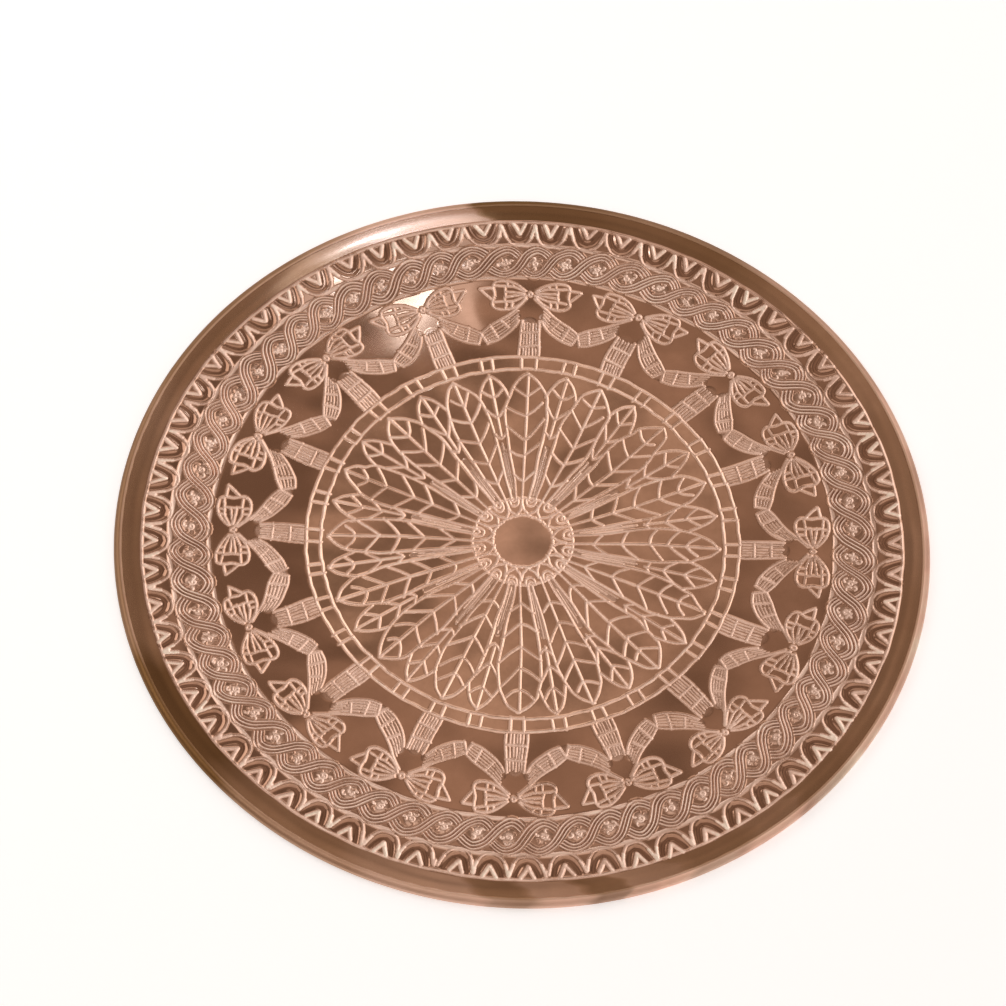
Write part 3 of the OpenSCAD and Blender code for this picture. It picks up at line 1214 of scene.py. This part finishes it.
def ironFinish():
    material, tree, shader, place = newMaterial("ironWire")
    rust = noiseOf(tree, place, ironLook["rustScale"], 5.0)
    rust = rangeOf(tree, rust, *ironLook["rustSpan"], 0.0, 1.0)
    tree.links.new(blendOf(tree, rust, ironLook["iron"], ironLook["rust"]), shader.inputs["Base Color"])
    tree.links.new(rangeOf(tree, rust, 0.0, 1.0, *ironLook["rough"]), shader.inputs["Roughness"])
    shader.inputs["Metallic"].default_value = ironLook["metallic"]
    return material


wireNode = frame["nodes"]["rim_wire"]
wireNode.data.materials.clear()
wireNode.data.materials.append(ironFinish())
print("wire finished")


# floor, light and camera

room = {
    "floorSize": 14.0,                                 # metres
    "floorColour": (0.78, 0.80, 0.83),
    "floorGlow": 0.52,
    "darkTone": (0.17, 0.125, 0.092),                  # what the copper mirrors: darker and lighter parts
    "lightTone": (0.56, 0.44, 0.36),
    "toneScale": 14.0,
}

# each row: name, azimuth and elevation it shines from, distance, width, height, power, colour
softboxes = [
    ("key_left", 150, 44, 2.2, 1.9, 1.5, 12.0, (1.0, 0.98, 0.96)),
    ("camera_right", 322, 38, 2.6, 2.0, 1.5, 3.4, (1.0, 0.97, 0.94)),
    ("far_right", 30, 42, 2.5, 1.6, 1.3, 1.4, (1.0, 0.95, 0.91)),
    ("camera_side", 255, 46, 3.9, 2.2, 1.6, 4.2, (1.0, 0.96, 0.92)),
    ("overhead", 90, 87, 2.6, 2.2, 1.6, 6.4, (1.0, 0.97, 0.94)),
    ("far_low", 92, 30, 2.6, 2.6, 1.3, 5.6, (1.0, 0.96, 0.92)),
]

# small ones placed so that the camera sees them mirrored at a spot of the tray: distance out as a
# share of the radius, degrees round, how far off, width, height, power, colour
windows = [
    ("window_sheen", 0.80, 116, 0.50, 0.12, 0.05, 0.017, (0.84, 0.92, 1.0)),
    ("window_glint", 0.748, 112.8, 0.55, 0.026, 0.012, 0.009, (0.58, 0.80, 1.0)),
]


def makeFloor():
    half = 0.5 * room["floorSize"]
    corners = [(-half, -half, 0), (half, -half, 0), (half, half, 0), (-half, half, 0)]
    mesh = bpy.data.meshes.new("floor")
    mesh.from_pydata(corners, [], [(0, 1, 2, 3)])
    floor = bpy.data.objects.new("floor", mesh)
    bpy.context.scene.collection.objects.link(floor)
    material, tree, shader, place = newMaterial("paleFloor")
    cloud = rangeOf(tree, noiseOf(tree, place, 3.0, 2.0), 0.3, 0.7, 0.0, 1.0)
    pale = room["floorColour"]
    tree.links.new(blendOf(tree, cloud, pale, tuple(0.985 * c for c in pale)), shader.inputs["Base Color"])
    shader.inputs["Roughness"].default_value = 0.9
    shader.inputs["Emission Color"].default_value = (1.0, 1.0, 1.0, 1.0)
    shader.inputs["Emission Strength"].default_value = room["floorGlow"]
    mesh.materials.append(material)


def aimed(azimuth, elevation, distance):
    # a place so far from the tray's centre in that direction
    a, e = math.radians(azimuth), math.radians(elevation)
    return np.array([math.cos(a) * math.cos(e), math.sin(a) * math.cos(e), math.sin(e)]) * distance


def placing(axes, place):
    # the transform whose columns are three unit directions and a place
    return Matrix([[*axes[i], place[i]] for i in range(3)] + [[0, 0, 0, 1]])


def makeSoftbox(name, azimuth, elevation, distance, width, height, power, colour):
    lamp = bpy.data.lights.new(name, "AREA")
    lamp.shape = "RECTANGLE"
    lamp.size, lamp.size_y = width, height
    lamp.energy = power
    lamp.color = colour
    light = bpy.data.objects.new(name, lamp)
    bpy.context.scene.collection.objects.link(light)
    back = aimed(azimuth, elevation, 1.0)
    right = np.cross([0, 0, 1], back)
    right /= np.linalg.norm(right)
    place = back * distance
    fromMatrix = np.stack([right, np.cross(back, right), back], 1)
    light.matrix_world = placing(fromMatrix, place)


def makeWindow(name, share, around, distance, width, height, power, colour):
    # the mirror law: the way out is the way in less twice its part along the sheet's own normal
    a, step = math.radians(around), 0.5 * mm
    x, y = share * trayRadius * math.cos(a), share * trayRadius * math.sin(a)
    slopeX = float(sheetLift(x + step, y) - sheetLift(x - step, y)) / (2 * step)
    slopeY = float(sheetLift(x, y + step) - sheetLift(x, y - step)) / (2 * step)
    normal = np.array([-slopeX, -slopeY, 1.0])
    normal /= np.linalg.norm(normal)
    spot = np.array([x, y, faceHeight])
    wayIn = spot - np.array(bpy.context.scene.camera.matrix_world.translation)
    wayIn /= np.linalg.norm(wayIn)
    place = spot + distance * (wayIn - 2 * wayIn.dot(normal) * normal)
    azimuth = math.degrees(math.atan2(place[1], place[0]))
    far = np.linalg.norm(place)
    elevation = math.degrees(math.asin(place[2] / far))
    makeSoftbox(name, azimuth, elevation, far, width, height, power, colour)


cameraSetting = {
    "elevation": 59.37,
    "roll": 3.01,
    "turned": -0.95,                                   # degrees about the tray's axis
    "distance": 14.90,                                 # in tray radii
    "offRight": 0.0481,                                # where the tray's centre stands off the view's axis
    "offDown": 0.0919,
    "lens": 217.8,
    "sensor": 36.0,
}


def makeCamera():
    # looks along the tray's +y and down by the elevation, rolled a little, with the centre off axis
    c = cameraSetting
    tilt, roll, spin = (math.radians(v) for v in (c["elevation"], c["roll"], c["turned"]))
    forward = np.array([0, math.cos(tilt), -math.sin(tilt)])
    level = np.array([1.0, 0, 0])
    down = np.array([0, -math.sin(tilt), -math.cos(tilt)])
    right = math.cos(roll) * level - math.sin(roll) * down
    down = math.sin(roll) * level + math.cos(roll) * down
    place = -trayRadius * (c["offRight"] * right + c["offDown"] * down + c["distance"] * forward)
    spinner = np.array([[math.cos(spin), -math.sin(spin), 0], [math.sin(spin), math.cos(spin), 0],
                        [0, 0, 1]])
    axes = spinner @ np.stack([right, -down, -forward], 1)
    place = spinner @ place + np.array([0, 0, faceHeight])
    data = bpy.data.cameras.new("camera")
    data.lens, data.sensor_width = c["lens"], c["sensor"]
    data.clip_start, data.clip_end = 0.05, 60.0
    camera = bpy.data.objects.new("camera", data)
    bpy.context.scene.collection.objects.link(camera)
    camera.matrix_world = placing(axes, place)
    bpy.context.scene.camera = camera


def makeWorld():
    # a dim warm room whose tone wanders softly with direction
    world = bpy.data.worlds.new("room")
    bpy.context.scene.world = world
    world.use_nodes = True
    tree = world.node_tree
    place = tree.nodes.new("ShaderNodeTexCoord").outputs["Generated"]
    tone = rangeOf(tree, noiseOf(tree, place, room["toneScale"], 2.0), 0.38, 0.62, 0.0, 1.0)
    background = tree.nodes["Background"]
    tree.links.new(blendOf(tree, tone, room["darkTone"], room["lightTone"]), background.inputs["Color"])
    background.inputs["Strength"].default_value = 1.0


makeFloor()
for row in softboxes:
    makeSoftbox(*row)
makeWorld()
makeCamera()
for row in windows:
    makeWindow(*row)
bpy.context.scene.view_settings.view_transform = "Standard"
print("floor, lights and camera ready")
